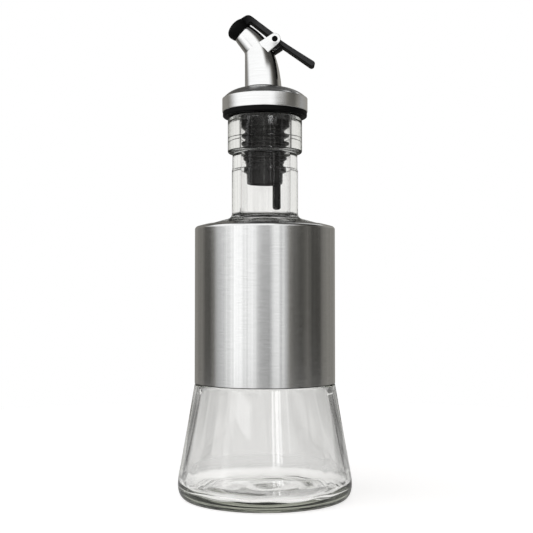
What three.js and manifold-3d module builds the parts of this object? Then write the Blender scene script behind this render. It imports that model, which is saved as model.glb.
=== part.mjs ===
// Oil dispenser: a flared clear glass bottle in a brushed steel sleeve, closed by a stopper pourer
// with a bent steel spout and a sprung flip lever. Millimetres, +Z up, origin at the middle of the
// base. The spout's mouth points to -X and the thumb arm of the lever to +X.
import * as THREE from 'three';
import { mergeVertices } from 'three/addons/utils/BufferGeometryUtils.js';
import Module from 'manifold-3d';

const degrees = THREE.MathUtils.degToRad;

// Outside of the glass: foot ring, heel, flare, barrel, shoulder, neck and lip band
const footInnerR = 30;
const footOuterR = 36;
const puntDepth = 1.2;
const heelR = 39.5;
const heelZ = 5.7;
const heelTopZ = 9.3;
const flareFootR = 38.45;
const flareFootZ = 13.8;
const ledgeR = 31.85;
const ledgeZ = 51.1;
const ledgeRound = 0.6;
const barrelR = 31;
const shoulderZ = 120.8;
const shoulderRound = 1;
const shoulderTurn = degrees(75);
const shoulderEdgeR = 26.8;
const shoulderEdgeZ = 123.35;
const shoulderTopR = 17.5;
const shoulderTopZ = 126;
const neckR = 15.15;
const neckRootZ = 126.65;
const neckFootZ = 129.2;
const neckTopZ = 148.2;
const waistR = 14.85;
const waistFootZ = 149.2;
const bandR = 17.05;
const bandFootR = 16;
const bandFootZ = 156.3;
const bandFillet = 1.7;
const bandRound = 1.5;
const lipZ = 172.6;
const lipRound = 1.6;

// Inside of the glass, from the floor up to the bore
const floorZ = 4.3;
const floorRise = 1.1;
const floorR = 33;
const cavityHeelR = 37.5;
const cavityFlareR = 36.9;
const cavityFlareZ = 8.8;
const cavityLedgeR = 28.9;
const cavityLedgeZ = 49.3;
const cavityR = 28.6;
const cavityFootZ = 54.8;
const cavityTopZ = 115.3;
const cavityCornerZ = 119.2;
const cavityShoulderR = 25.5;
const cavityShoulderZ = 120.2;
const throatR = 15.5;
const throatZ = 123;
const throatTopZ = 124.8;
const boreR = 11.4;
const boreFootZ = 130.3;
const mouthRound = 1.3;

// Steel sleeve and the two bands of tape that hold it
const sleeveR = 32;
const sleeveWall = 0.4;
const sleeveFootZ = 51.4;
const sleeveCornerR = 2;
const sleeveMouthR = 27.6;
const sleeveMouthZ = 123.51;
const sleeveEdgeSlant = 0.1;
const tapeInnerR = 31.12;
const tapeOuterR = 31.48;
const tapeHeight = 8;
const lowerTapeZ = 53.8;
const upperTapeZ = 110.8;

// Cap shell and liner
const capR = 19.6;
const capWall = 0.6;
const capFootZ = 175.25;
const capBandTopZ = 181.3;
const domeEdgeR = 19.2;
const domeEdgeZ = 181.6;
const domeBulgeR = 15.8;
const domeBulgeZ = 185.5;
const domeOpenR = 6;
const domeTopZ = 186.2;
const linerR = 19.35;
const linerFootZ = 172.9;
const linerChamfer = 0.5;
const linerBoreR = 8.9;
const linerSocketR = 9.6;
const linerSocketZ = 178;
const linerEdgeZ = 180.4;
const linerTopR = 14.2;
const linerTopZ = 183.2;

// Stopper: seal, core and vent tube
const sealInnerR = 8.45;
const sealCollarR = 11.15;
const sealCollarZ = 167.6;
const sealFootZ = 151.4;
const sealTopZ = 172.5;
const wideFinR = 11.05;
const narrowFinR = 10.1;
const finRootHalf = 1.1;
const finTipHalf = 0.35;
const fins = [
  { z: 153.6, tipR: narrowFinR, rootR: 9 },
  { z: 157, tipR: narrowFinR, rootR: 9.1 },
  { z: 160.1, tipR: wideFinR, rootR: 9.2 },
  { z: 163.8, tipR: wideFinR, rootR: 9.2 },
];
const coreBoreR = 7.5;
const coreWaistR = 8.25;
const coreFootR = 8.3;
const coreFootZ = 142.1;
const coreChamfer = 0.9;
const coreSeatR = 8.7;
const coreSeatZ = 151;
const coreTopZ = 177.8;
const beadR = 9.85;
const beadZ = 148.3;
const beadRootHalf = 1.2;
const beadTipHalf = 0.7;
const ventX = 5.45;
const ventR = 1.93;
const ventBoreR = 0.6;
const ventFootZ = 130.4;
const ventTopZ = 170.8;
const ventPlay = 0.15;
const ventSocketR = 2.93;

// Spout, seen from the side: the front outline is creased and the back outline is one curve
const spoutFrontX = -9.2;
const spoutFootZ = 178.3;
const spoutWall = 0.8;
const spoutNarrow = 0.86;
const creaseZ = 202.6;
const creaseShare = 0.62;
const mouthFront = new THREE.Vector2(-13.3, 208.2);
const mouthBack = new THREE.Vector2(-6.75, 215.3);
const backFoot = new THREE.Vector2(7.7, 186.5);
const backRise = new THREE.Vector2(6.4, 201.35);
const backBend = new THREE.Vector2(2.8, 209);
const spoutBack = new THREE.CubicBezierCurve(backFoot, backRise, backBend, mouthBack);
const spoutAxisX = (spoutFrontX + backFoot.x) / 2;
const spoutFootR = (backFoot.x - spoutFrontX) / 2;
const mouthCentre = mouthFront.clone().lerp(mouthBack, 0.5);
const mouthTilt = Math.atan2(mouthBack.y - mouthFront.y, mouthBack.x - mouthFront.x);

// Hinge ears and pin
const pivot = new THREE.Vector2(4.5, 208.25);
const earInnerY = 4.2;
const earOuterY = 5.1;
const earEndR = 2.65;
const earUpperSlope = degrees(33.5);
const earLowerSlope = degrees(42);
const earUpperReach = 6.9;
const earLowerReach = 7.9;
const pinR = 1.3;
const pinHalfLength = 5.3;
const pinClearance = 0.08;

// Lever, its head over the mouth, the seal in the head and the return leaf under the thumb arm
const leverWidth = 6.4;
const leverHubR = 2.4;
const leverHubWidth = 7.8;
const thumbTip = new THREE.Vector2(16.95, -11.1);
const thumbTipR = 1.5;
const thumbUnderTurn = degrees(-126);
const thumbOverTurn = degrees(57);
const armUnder = new THREE.Vector2(4.1, -3.45);
const armTop = new THREE.Vector2(2.8, 0);
const armTopPull = new THREE.Vector2(8.4, -3.9);
const strapUnder = new THREE.Vector2(-4, 2.8);
const strapTop = new THREE.Vector2(-0.65, 3.4);
const bendUnder = new THREE.Vector2(-11.1, 8.35);
const bendStart = new THREE.Vector2(-10.4, 10.85);
const bendPull = new THREE.Vector2(-11.9, 12);
const bendEnd = new THREE.Vector2(-13.6, 11.1);
const tailTop = new THREE.Vector2(-16.6, 9.15);
const tailFoot = new THREE.Vector2(-13, 6.5);
const headR = 5.45;
const headWideZ = 3.3;
const headHeight = 6.4;
const headRimR = 4.75;
const headRimPull = new THREE.Vector2(5.3, 1.7);
const headCrownPull = new THREE.Vector2(5.25, 5.8);
const headCrownR = 1.6;
const headRimLift = 0.1;
const sealDiscR = 4.15;
const sealDiscHeight = 1.1;
const sealDiscPlay = 0.25;
const sealDiscChamfer = 0.2;
const springWidth = 5;
const springFoot = { over: new THREE.Vector2(0, -5), under: new THREE.Vector2(0.4, -5.9) };
const springRoot = { over: new THREE.Vector2(2.55, -2.95), under: new THREE.Vector2(3.95, -3.85) };

const gap = 0.3;
const bottleSides = 36;
const neckSides = 28;
const pinSides = 24;
const ventSides = 16;
const curveSteps = 3;

const wasm = await Module();
wasm.setup();

// A turned solid about Z from a profile of radius and height, drawn anticlockwise
function turned(profile, sides) {
  const tooClose = 0.01;
  const points = [];
  for (const point of profile.getPoints(curveSteps)) {
    const last = points.at(-1);
    if (!last || last.distanceTo(point) > tooClose) points.push(point);
  }
  return new THREE.LatheGeometry(points, sides).rotateX(Math.PI / 2);
}

// A closed profile that stays off the axis, from a list of [radius, height] corners
function hoop(corners) {
  return new THREE.Path([...corners, corners[0]].map(([r, z]) => new THREE.Vector2(r, z)));
}

function rod(radius, fromZ, toZ, sides) {
  const profile = new THREE.Path().moveTo(0, fromZ).lineTo(radius, fromZ);
  return turned(profile.lineTo(radius, toZ).lineTo(0, toZ), sides);
}

// A round bar along Y, centred on the origin
function crossRod(radius, length) {
  return rod(radius, -length / 2, length / 2, pinSides).rotateX(Math.PI / 2);
}

// A plate with its outline in the XZ plane, centred on Y = 0
function plate(outline, width) {
  const options = { depth: width, bevelEnabled: false, curveSegments: 2 * curveSteps };
  return new THREE.ExtrudeGeometry(outline, options).rotateX(Math.PI / 2).translate(0, width / 2, 0);
}

// A solid through a row of rings, each the same number of points, closed by flat ends
function lofted(rings) {
  const sides = rings[0].length;
  const vertices = rings.flat().flatMap((p) => [p.x, p.y, p.z]);
  const faces = [];
  for (let i = 0; i + 1 < rings.length; i++) {
    for (let k = 0; k < sides; k++) {
      const next = (k + 1) % sides;
      const low = i * sides;
      const high = low + sides;
      faces.push(low + k, low + next, high + next, low + k, high + next, high + k);
    }
  }
  const top = (rings.length - 1) * sides;
  for (let k = 1; k + 1 < sides; k++) {
    faces.push(0, k + 1, k, top, top + k, top + k + 1);
  }
  const geometry = new THREE.BufferGeometry();
  geometry.setAttribute('position', new THREE.Float32BufferAttribute(vertices, 3));
  return geometry.setIndex(faces);
}

function solid(geometry) {
  const bare = geometry.clone();
  bare.deleteAttribute('normal');
  bare.deleteAttribute('uv');
  const merged = mergeVertices(bare);
  const vertProperties = merged.attributes.position.array;
  return new wasm.Manifold(
    new wasm.Mesh({ numProp: 3, vertProperties, triVerts: new Uint32Array(merged.index.array) }),
  );
}

function geometryOf(shape) {
  const { vertProperties, triVerts } = shape.getMesh();
  const geometry = new THREE.BufferGeometry();
  geometry.setAttribute('position', new THREE.Float32BufferAttribute(vertProperties, 3));
  geometry.setIndex([...triVerts]);
  geometry.computeVertexNormals();
  return geometry;
}

const clearGlass = new THREE.MeshStandardMaterial({ color: 0xe6eae8, roughness: 0.05, metalness: 0 });
const brushedSteel = new THREE.MeshStandardMaterial({ color: 0xb8b6b1, roughness: 0.35, metalness: 1 });
const satinSteel = new THREE.MeshStandardMaterial({ color: 0xc9c8c5, roughness: 0.25, metalness: 1 });
const blackPlastic = new THREE.MeshStandardMaterial({ color: 0x1c1c1d, roughness: 0.45, metalness: 0 });
const blackSilicone = new THREE.MeshStandardMaterial({ color: 0x141415, roughness: 0.65, metalness: 0 });
const blackTape = new THREE.MeshStandardMaterial({ color: 0x161616, roughness: 0.7, metalness: 0 });

function piece(name, geometry, material) {
  const mesh = new THREE.Mesh(geometry, material);
  mesh.name = name;
  return mesh;
}

// Bottle: up the outside from the recessed underside to the lip, then down the inside to the floor
function glassBottle() {
  const profile = new THREE.Path()
    .moveTo(0, puntDepth)
    .lineTo(footInnerR - puntDepth, puntDepth)
    .lineTo(footInnerR, 0)
    .lineTo(footOuterR, 0)
    .absellipse(footOuterR, heelZ, heelR - footOuterR, heelZ, -Math.PI / 2, 0)
    .quadraticCurveTo(heelR, heelTopZ, flareFootR, flareFootZ)
    .lineTo(ledgeR, ledgeZ - ledgeRound)
    .lineTo(barrelR, ledgeZ)
    .lineTo(barrelR, shoulderZ)
    .absarc(barrelR - shoulderRound, shoulderZ, shoulderRound, 0, shoulderTurn)
    .lineTo(shoulderEdgeR, shoulderEdgeZ)
    .lineTo(shoulderTopR, shoulderTopZ)
    .quadraticCurveTo(neckR, neckRootZ, neckR, neckFootZ)
    .lineTo(neckR, neckTopZ)
    .lineTo(waistR, waistFootZ)
    .lineTo(waistR, bandFootZ - bandFillet)
    .quadraticCurveTo(waistR, bandFootZ, bandFootR, bandFootZ)
    .quadraticCurveTo(bandR, bandFootZ, bandR, bandFootZ + bandRound)
    .lineTo(bandR, lipZ - lipRound)
    .absarc(bandR - lipRound, lipZ - lipRound, lipRound, 0, Math.PI / 2)
    .lineTo(boreR + mouthRound, lipZ)
    .quadraticCurveTo(boreR, lipZ, boreR, lipZ - mouthRound)
    .lineTo(boreR, boreFootZ)
    .quadraticCurveTo(boreR, throatTopZ, throatR, throatZ)
    .lineTo(cavityShoulderR, cavityShoulderZ)
    .quadraticCurveTo(cavityR, cavityCornerZ, cavityR, cavityTopZ)
    .lineTo(cavityR, cavityFootZ)
    .lineTo(cavityLedgeR, cavityLedgeZ)
    .lineTo(cavityFlareR, cavityFlareZ)
    .quadraticCurveTo(cavityHeelR, floorZ, floorR, floorZ)
    .lineTo(0, floorZ + floorRise);
  return turned(profile, bottleSides);
}

// Sleeve: a thin tube whose top edge is rolled in over the shoulder
function steelSleeve() {
  const centreR = sleeveR - sleeveCornerR;
  const innerCornerR = sleeveCornerR - sleeveWall;
  const profile = new THREE.Path()
    .moveTo(sleeveR, sleeveFootZ)
    .lineTo(sleeveR, shoulderZ)
    .absarc(centreR, shoulderZ, sleeveCornerR, 0, shoulderTurn)
    .lineTo(sleeveMouthR, sleeveMouthZ)
    .lineTo(sleeveMouthR - sleeveEdgeSlant, sleeveMouthZ - sleeveWall)
    .absarc(centreR, shoulderZ, innerCornerR, shoulderTurn, 0, true)
    .lineTo(sleeveR - sleeveWall, sleeveFootZ)
    .lineTo(sleeveR, sleeveFootZ);
  return turned(profile, bottleSides);
}

function tapeBand(footZ) {
  const corners = [
    [tapeInnerR, footZ],
    [tapeOuterR, footZ],
    [tapeOuterR, footZ + tapeHeight],
    [tapeInnerR, footZ + tapeHeight],
  ];
  return turned(hoop(corners), bottleSides);
}

// Cap: a spun shell with a flat band and a shallow dome, holed for the foot of the spout
function capShell() {
  const innerR = capR - capWall;
  const innerEdgeDrop = 0.2;
  const profile = new THREE.Path()
    .moveTo(innerR, capFootZ)
    .lineTo(capR, capFootZ)
    .lineTo(capR, capBandTopZ)
    .lineTo(domeEdgeR, domeEdgeZ)
    .quadraticCurveTo(domeBulgeR, domeBulgeZ, domeOpenR, domeTopZ)
    .lineTo(domeOpenR, domeTopZ - capWall)
    .quadraticCurveTo(domeBulgeR - gap, domeBulgeZ - capWall, domeEdgeR - capWall, domeEdgeZ - innerEdgeDrop)
    .lineTo(innerR, capBandTopZ - gap)
    .lineTo(innerR, capFootZ);
  const hole = rod(spoutFootR + gap, capFootZ, domeTopZ + gap, neckSides).translate(spoutAxisX, 0, 0);
  return geometryOf(solid(turned(profile, neckSides)).subtract(solid(hole)));
}

// Liner: a flange that rests on the glass lip, and a plug that fills the cap round the spout
function capLiner() {
  const plugR = capR - capWall - gap;
  const corners = [
    [linerBoreR, linerFootZ],
    [linerR - linerChamfer, linerFootZ],
    [linerR, linerFootZ + linerChamfer],
    [linerR, capFootZ - gap],
    [plugR, capFootZ - gap],
    [plugR, linerEdgeZ],
    [linerTopR, linerTopZ],
    [linerSocketR, linerTopZ],
    [linerSocketR, linerSocketZ],
    [linerBoreR, linerSocketZ],
  ];
  return turned(hoop(corners), neckSides);
}

// Seal: a soft sleeve with fins that grip the bore, under a collar that fills the mouth
function neckSeal() {
  const shoulderDrop = 1;
  const lastRootR = fins.at(-1).rootR;
  const corners = [
    [sealInnerR, sealFootZ],
    [fins[0].rootR, sealFootZ],
  ];
  for (const { z, tipR, rootR } of fins) {
    corners.push([rootR, z - finRootHalf], [tipR, z - finTipHalf]);
    corners.push([tipR, z + finTipHalf], [rootR, z + finRootHalf]);
  }
  corners.push([lastRootR, sealCollarZ - shoulderDrop], [sealCollarR, sealCollarZ]);
  corners.push([sealCollarR, sealTopZ], [sealInnerR, sealTopZ]);
  return turned(hoop(corners), neckSides);
}

// Core: a tube with a holding bead under the seal, and a socket in its bore for the vent tube
function stopperCore() {
  const topR = linerBoreR - gap;
  const footInset = 0.5;
  const topStepZ = sealTopZ + 0.2;
  const topStepRise = 0.4;
  const corners = [
    [coreBoreR, coreFootZ],
    [coreFootR - footInset, coreFootZ],
    [coreFootR, coreFootZ + coreChamfer],
    [coreFootR, beadZ - beadRootHalf],
    [beadR, beadZ - beadTipHalf],
    [beadR, beadZ + beadTipHalf],
    [coreSeatR, beadZ + beadRootHalf],
    [coreSeatR, coreSeatZ],
    [coreWaistR, coreSeatZ],
    [coreWaistR, topStepZ],
    [topR, topStepZ + topStepRise],
    [topR, coreTopZ],
    [coreBoreR, coreTopZ],
  ];
  const socketFootZ = coreFootZ + coreChamfer;
  const wallBite = 0.4;
  const socket = solid(rod(ventSocketR, socketFootZ, coreSeatZ, pinSides).translate(ventX, 0, 0));
  const within = solid(rod(coreBoreR + wallBite, socketFootZ, coreSeatZ, neckSides));
  const way = solid(rod(ventR + ventPlay, coreFootZ - gap, coreTopZ + gap, pinSides).translate(ventX, 0, 0));
  const tube = solid(turned(hoop(corners), neckSides));
  return geometryOf(tube.add(socket.intersect(within)).subtract(way));
}

// Vent: a thin air tube with a rounded lower end
function ventTube() {
  const tipR = ventR - ventBoreR;
  const profile = new THREE.Path()
    .moveTo(ventBoreR, ventFootZ)
    .absarc(ventBoreR, ventFootZ + tipR, tipR, -Math.PI / 2, 0)
    .lineTo(ventR, ventTopZ)
    .lineTo(ventBoreR, ventTopZ)
    .lineTo(ventBoreR, ventFootZ);
  return turned(profile, ventSides);
}

// A section of the spout, across from its front outline to its back outline; narrow is its share of a circle
function spoutRing(front, back, narrow, grow) {
  const centre = front.clone().lerp(back, 0.5);
  const across = back.clone().sub(front).normalize();
  const radius = front.distanceTo(back) / 2;
  const ring = [];
  for (let k = 0; k < neckSides; k++) {
    const angle = (k / neckSides) * 2 * Math.PI;
    const along = (radius + grow) * Math.cos(angle);
    const side = (radius * narrow + grow) * Math.sin(angle);
    ring.push(new THREE.Vector3(centre.x + along * across.x, side, centre.y + along * across.y));
  }
  return ring;
}

// The outside of the spout grown by a distance; a bore runs a little past both of its ends
function spoutBody(grow, past = 0) {
  const lowSteps = 5;
  const highSteps = 3;
  const crease = new THREE.Vector2(spoutFrontX, creaseZ);
  const foot = new THREE.Vector2(spoutFrontX, spoutFootZ - past);
  const rings = [spoutRing(foot, new THREE.Vector2(backFoot.x, foot.y), 1, grow)];
  for (let i = 0; i <= lowSteps; i++) {
    const share = i / lowSteps;
    const front = new THREE.Vector2(spoutFrontX, THREE.MathUtils.lerp(backFoot.y, creaseZ, share));
    const narrow = THREE.MathUtils.lerp(1, spoutNarrow, share);
    rings.push(spoutRing(front, spoutBack.getPoint(share * creaseShare), narrow, grow));
  }
  for (let i = 1; i <= highSteps; i++) {
    const share = i / highSteps;
    const front = crease.clone().lerp(mouthFront, share);
    const back = spoutBack.getPoint(THREE.MathUtils.lerp(creaseShare, 1, share));
    rings.push(spoutRing(front, back, spoutNarrow, grow));
  }
  const mouth = rings.at(-1);
  const outward = new THREE.Vector3(-Math.sin(mouthTilt), 0, Math.cos(mouthTilt));
  if (past > 0) rings.push(mouth.map((point) => point.clone().addScaledVector(outward, past)));
  return solid(lofted(rings));
}

function spoutTube() {
  const past = 1;
  return geometryOf(spoutBody(0).subtract(spoutBody(-spoutWall, past)));
}

// Ear: a tab from the spout's side to a round end about the pivot, cut where it meets the spout
function hingeEar(side) {
  const tangent = (slope, turn) =>
    new THREE.Vector2(-Math.sin(slope) * turn, Math.cos(slope) * turn).multiplyScalar(earEndR).add(pivot);
  const rootOf = (point, slope, reach) =>
    new THREE.Vector2(Math.cos(slope), Math.sin(slope)).multiplyScalar(-reach).add(point);
  const upper = tangent(earUpperSlope, 1);
  const lower = tangent(earLowerSlope, -1);
  const upperRoot = rootOf(upper, earUpperSlope, earUpperReach);
  const lowerRoot = rootOf(lower, earLowerSlope, earLowerReach);
  const outline = new THREE.Shape()
    .moveTo(upperRoot.x, upperRoot.y)
    .lineTo(lowerRoot.x, lowerRoot.y)
    .lineTo(lower.x, lower.y)
    .absarc(pivot.x, pivot.y, earEndR, earLowerSlope - Math.PI / 2, earUpperSlope + Math.PI / 2)
    .lineTo(upperRoot.x, upperRoot.y);
  const middleY = (side * (earInnerY + earOuterY)) / 2;
  const tab = plate(outline, earOuterY - earInnerY).translate(0, middleY, 0);
  const hole = crossRod(pinR + pinClearance, 2 * (pinHalfLength + gap)).translate(pivot.x, 0, pivot.y);
  return geometryOf(solid(tab).subtract(solid(hole)).subtract(spoutBody(gap)));
}

// A turned solid whose axis leaves the mouth square, given about the pivot
function onMouth(geometry) {
  return geometry.rotateY(-mouthTilt).translate(mouthCentre.x - pivot.x, 0, mouthCentre.y - pivot.y);
}

// Lever, about its pivot: a bent strap, a hub between the ears, and a round head over the mouth
function lever() {
  const strap = new THREE.Shape()
    .moveTo(bendUnder.x, bendUnder.y)
    .lineTo(strapUnder.x, strapUnder.y)
    .lineTo(armUnder.x, armUnder.y)
    .absarc(thumbTip.x, thumbTip.y, thumbTipR, thumbUnderTurn, thumbOverTurn)
    .quadraticCurveTo(armTopPull.x, armTopPull.y, armTop.x, armTop.y)
    .lineTo(strapTop.x, strapTop.y)
    .lineTo(bendStart.x, bendStart.y)
    .quadraticCurveTo(bendPull.x, bendPull.y, bendEnd.x, bendEnd.y)
    .lineTo(tailTop.x, tailTop.y)
    .lineTo(tailTop.x, tailFoot.y)
    .lineTo(tailFoot.x, tailFoot.y)
    .lineTo(bendUnder.x, bendUnder.y);
  const rimZ = gap + headRimLift;
  const recessR = sealDiscR + sealDiscPlay;
  const recessZ = gap + sealDiscHeight + gap;
  const clearance = 3;
  const head = new THREE.Path()
    .moveTo(0, recessZ)
    .lineTo(recessR, recessZ)
    .lineTo(recessR, rimZ)
    .lineTo(headRimR, rimZ)
    .quadraticCurveTo(headRimPull.x, headRimPull.y, headR, headWideZ)
    .quadraticCurveTo(headCrownPull.x, headCrownPull.y, headCrownR, headHeight)
    .lineTo(0, headHeight);
  const arm = solid(plate(strap, leverWidth));
  const hub = solid(crossRod(leverHubR, leverHubWidth));
  const hole = solid(crossRod(pinR + pinClearance, leverHubWidth + gap));
  const recess = solid(onMouth(rod(recessR, -clearance, recessZ, neckSides)));
  const cup = solid(onMouth(turned(head, neckSides)));
  return geometryOf(arm.add(hub).subtract(recess).add(cup).subtract(hole));
}

function mouthSeal() {
  const profile = new THREE.Path()
    .moveTo(0, gap)
    .lineTo(sealDiscR - sealDiscChamfer, gap)
    .lineTo(sealDiscR, gap + sealDiscChamfer)
    .lineTo(sealDiscR, gap + sealDiscHeight)
    .lineTo(0, gap + sealDiscHeight);
  return onMouth(turned(profile, neckSides));
}

// Leaf between the spout's back and the underside of the thumb arm, about the pivot
function returnSpring() {
  const outline = new THREE.Shape()
    .moveTo(springFoot.under.x, springFoot.under.y)
    .lineTo(springRoot.under.x, springRoot.under.y)
    .lineTo(springRoot.over.x, springRoot.over.y)
    .lineTo(springFoot.over.x, springFoot.over.y);
  return plate(outline, springWidth);
}

const bottle = new THREE.Group();
bottle.add(piece('glass_bottle', glassBottle(), clearGlass));
bottle.add(piece('steel_sleeve', steelSleeve(), brushedSteel));
bottle.add(piece('sleeve_tape_lower', tapeBand(lowerTapeZ), blackTape));
bottle.add(piece('sleeve_tape_upper', tapeBand(upperTapeZ), blackTape));

const pourer = new THREE.Group();
pourer.add(piece('cap_shell', capShell(), satinSteel));
pourer.add(piece('cap_liner', capLiner(), blackPlastic));
pourer.add(piece('neck_seal', neckSeal(), blackSilicone));
pourer.add(piece('stopper_core', stopperCore(), blackPlastic));
const vent = piece('vent_tube', ventTube(), blackPlastic);
vent.position.x = ventX;
pourer.add(vent);
pourer.add(piece('spout_tube', spoutTube(), satinSteel));
pourer.add(piece('hinge_ear_front', hingeEar(-1), satinSteel));
pourer.add(piece('hinge_ear_rear', hingeEar(1), satinSteel));

const flip = new THREE.Group();
flip.position.set(pivot.x, 0, pivot.y);
flip.add(piece('lever', lever(), blackPlastic));
flip.add(piece('pivot_pin', crossRod(pinR, 2 * pinHalfLength), blackPlastic));
flip.add(piece('mouth_seal', mouthSeal(), blackSilicone));
flip.add(piece('return_spring', returnSpring(), blackPlastic));

const dispenser = new THREE.Group();
dispenser.name = 'oil_dispenser';
dispenser.add(bottle, pourer, flip);

export default dispenser;
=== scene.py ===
import math

import bmesh
import bpy
from mathutils import Matrix, Vector, noise


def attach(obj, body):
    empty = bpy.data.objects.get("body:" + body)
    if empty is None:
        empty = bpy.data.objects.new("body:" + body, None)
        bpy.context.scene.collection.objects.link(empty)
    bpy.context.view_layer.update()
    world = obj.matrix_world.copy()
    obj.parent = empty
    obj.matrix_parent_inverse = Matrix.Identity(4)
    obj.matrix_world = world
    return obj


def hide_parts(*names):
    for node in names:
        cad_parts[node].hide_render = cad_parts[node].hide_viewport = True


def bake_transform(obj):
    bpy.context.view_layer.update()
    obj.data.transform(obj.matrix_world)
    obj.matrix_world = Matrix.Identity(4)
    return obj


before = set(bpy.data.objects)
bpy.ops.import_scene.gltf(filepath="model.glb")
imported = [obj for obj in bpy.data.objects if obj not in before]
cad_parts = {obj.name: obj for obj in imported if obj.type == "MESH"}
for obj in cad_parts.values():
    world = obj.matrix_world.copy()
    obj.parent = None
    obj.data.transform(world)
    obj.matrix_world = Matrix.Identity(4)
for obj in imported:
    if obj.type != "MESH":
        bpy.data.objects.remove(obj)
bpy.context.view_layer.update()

# Glass bottle: clear soda glass, blown in a mould, with a thick heel, a ledge that stops the sleeve, a long
# neck and a lip band. It is one closed skin, outside and inside, so that light bends through the real wall.
# Sizes are millimetres, as radius and height, and a third number rounds that corner off.
MM = 0.001
ARC_STEP = 6
SUPPORT = 0.25
SHARP_ANGLE = 40
TOUCHING = 1e-7
ON_AXIS = 1e-6
NEARLY_HALF = 0.49
BORE_RADIUS = 11.4
NECK_RADIUS = 15.15
LIP_RADIUS = 17.05
LIP_FOOT = 156.3
LIP_TOP = 172.6
BARREL_RADIUS = 31
BARREL_BORE = 28.6
HEEL_RADIUS = 39.5
HEEL_HEIGHT = 5.7
FLOOR_EDGE = (33, 4.2)
GLASS_TINT = (0.7, 0.712, 0.665, 1)
GLASS_DENSITY = 50


def arc(centre, radii, start, end):
    """Points along an arc of an ellipse, between two angles in degrees."""
    steps = max(2, round(abs(end - start) / ARC_STEP))
    turns = [math.radians(start + (end - start) * i / steps) for i in range(steps + 1)]
    return [(centre[0] + radii[0] * math.cos(t), centre[1] + radii[1] * math.sin(t)) for t in turns]


def bend(start, pull, end, steps=10):
    """Points along a curve that leaves start towards pull and comes to end from it."""
    start, pull, end = Vector(start), Vector(pull), Vector(end)
    shares = [i / steps for i in range(steps + 1)]
    return [tuple((1 - s) ** 2 * start + 2 * s * (1 - s) * pull + s * s * end) for s in shares]


def straight(start, end, steps):
    """Points along a straight line, for a stretch that is made uneven later."""
    return [tuple(Vector(start).lerp(Vector(end), i / steps)) for i in range(steps + 1)]


def rounded(corners, closed=True):
    """An outline with its corners rounded off, and points close to both ends of each long straight."""
    points = []
    for i, corner in enumerate(corners):
        here = Vector(corner[:2])
        rounding = corner[2] if len(corner) > 2 else 0
        if rounding == 0:
            points.append(here)
            continue
        before = Vector(corners[i - 1][:2]) - here
        after = Vector(corners[(i + 1) % len(corners)][:2]) - here
        half = before.angle(after) / 2
        reach = min(rounding / math.tan(half), NEARLY_HALF * before.length, NEARLY_HALF * after.length)
        centre = here + (before.normalized() + after.normalized()).normalized() * reach / math.cos(half)
        first = here + before.normalized() * reach - centre
        last = here + after.normalized() * reach - centre
        turn = first.angle(last)
        steps = max(2, round(math.degrees(turn) / ARC_STEP))
        for k in range(steps + 1):
            share = k / steps
            along = first * math.sin((1 - share) * turn) + last * math.sin(share * turn)
            points.append(centre + along / math.sin(turn))
    outline = []
    for i, point in enumerate(points):
        outline.append(point)
        if i + 1 == len(points) and not closed:
            break
        step = points[(i + 1) % len(points)] - point
        if step.length > 4 * SUPPORT:
            inset = step.normalized() * SUPPORT
            outline += [point + inset, point + step - inset]
    return outline


def mesh_object(name, build):
    """An object made of a finished bmesh, smooth but for its true edges."""
    bmesh.ops.remove_doubles(build, verts=build.verts, dist=TOUCHING)
    bmesh.ops.recalc_face_normals(build, faces=build.faces)
    mesh = bpy.data.meshes.new(name)
    build.to_mesh(mesh)
    build.free()
    mesh.shade_smooth()
    mesh.set_sharp_from_angle(angle=math.radians(SHARP_ANGLE))
    piece = bpy.data.objects.new(name, mesh)
    bpy.context.scene.collection.objects.link(piece)
    return piece


def skin(build, rings, closed):
    """Faces between rings of the same number of points; a ring that is one point closes an end."""
    pairs = list(zip(rings, rings[1:]))
    if closed:
        pairs.append((rings[-1], rings[0]))
    for low, high in pairs:
        sides = max(len(low), len(high))
        for k in range(sides):
            after = (k + 1) % sides
            corners = [low[k % len(low)], low[after % len(low)], high[after % len(high)], high[k % len(high)]]
            build.faces.new(list(dict.fromkeys(corners)))


def turned(name, outline, sides=128, closed=True):
    """A solid turned about Z. An open outline starts and ends on the axis."""
    build = bmesh.new()
    rings = []
    for r, z in outline:
        if r < ON_AXIS:
            rings.append([build.verts.new((0, 0, z * MM))])
            continue
        turns = [2 * math.pi * k / sides for k in range(sides)]
        rings.append([build.verts.new((r * MM * math.cos(t), r * MM * math.sin(t), z * MM)) for t in turns])
    skin(build, rings, closed)
    return mesh_object(name, build)


underside = [(0, 2.1), (15, 1.9), (28.9, 1.2, 1.5), (30.2, 0, 0.9)]
heel = arc((36, HEEL_HEIGHT), (HEEL_RADIUS - 36, HEEL_HEIGHT), -90, 0)
heel += bend((HEEL_RADIUS, HEEL_HEIGHT), (HEEL_RADIUS, 9.3), (38.45, 13.8))
barrel_outside = [(31.95, 51, 0.7), (BARREL_RADIUS, 51.15, 0.2), (BARREL_RADIUS, 122.15, 1.2)]
neck_outside = [(NECK_RADIUS, 126.67, 2.6), (NECK_RADIUS, 148.4, 0.25)]
waist = [(14.95, 148.8, 0.25), (14.85, LIP_FOOT, 1.4)]
parting_line = [(LIP_RADIUS, 162.8, 0.1), (16.99, 163, 0.1), (LIP_RADIUS, 163.2, 0.1)]
lip = [(LIP_RADIUS, LIP_FOOT, 1.4)] + parting_line
lip += [(LIP_RADIUS, LIP_TOP, 1.6), (BORE_RADIUS, LIP_TOP, 1.3)]
bore = straight((BORE_RADIUS, 170.5), (BORE_RADIUS, 131), 20)
barrel_inside = [(BORE_RADIUS, 124.15, 6), (BARREL_BORE, 119.33, 3.6), (BARREL_BORE, 50.76, 15)]
flare_inside = straight((29.4, 47), (36.85, 9.5), 18)
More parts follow.
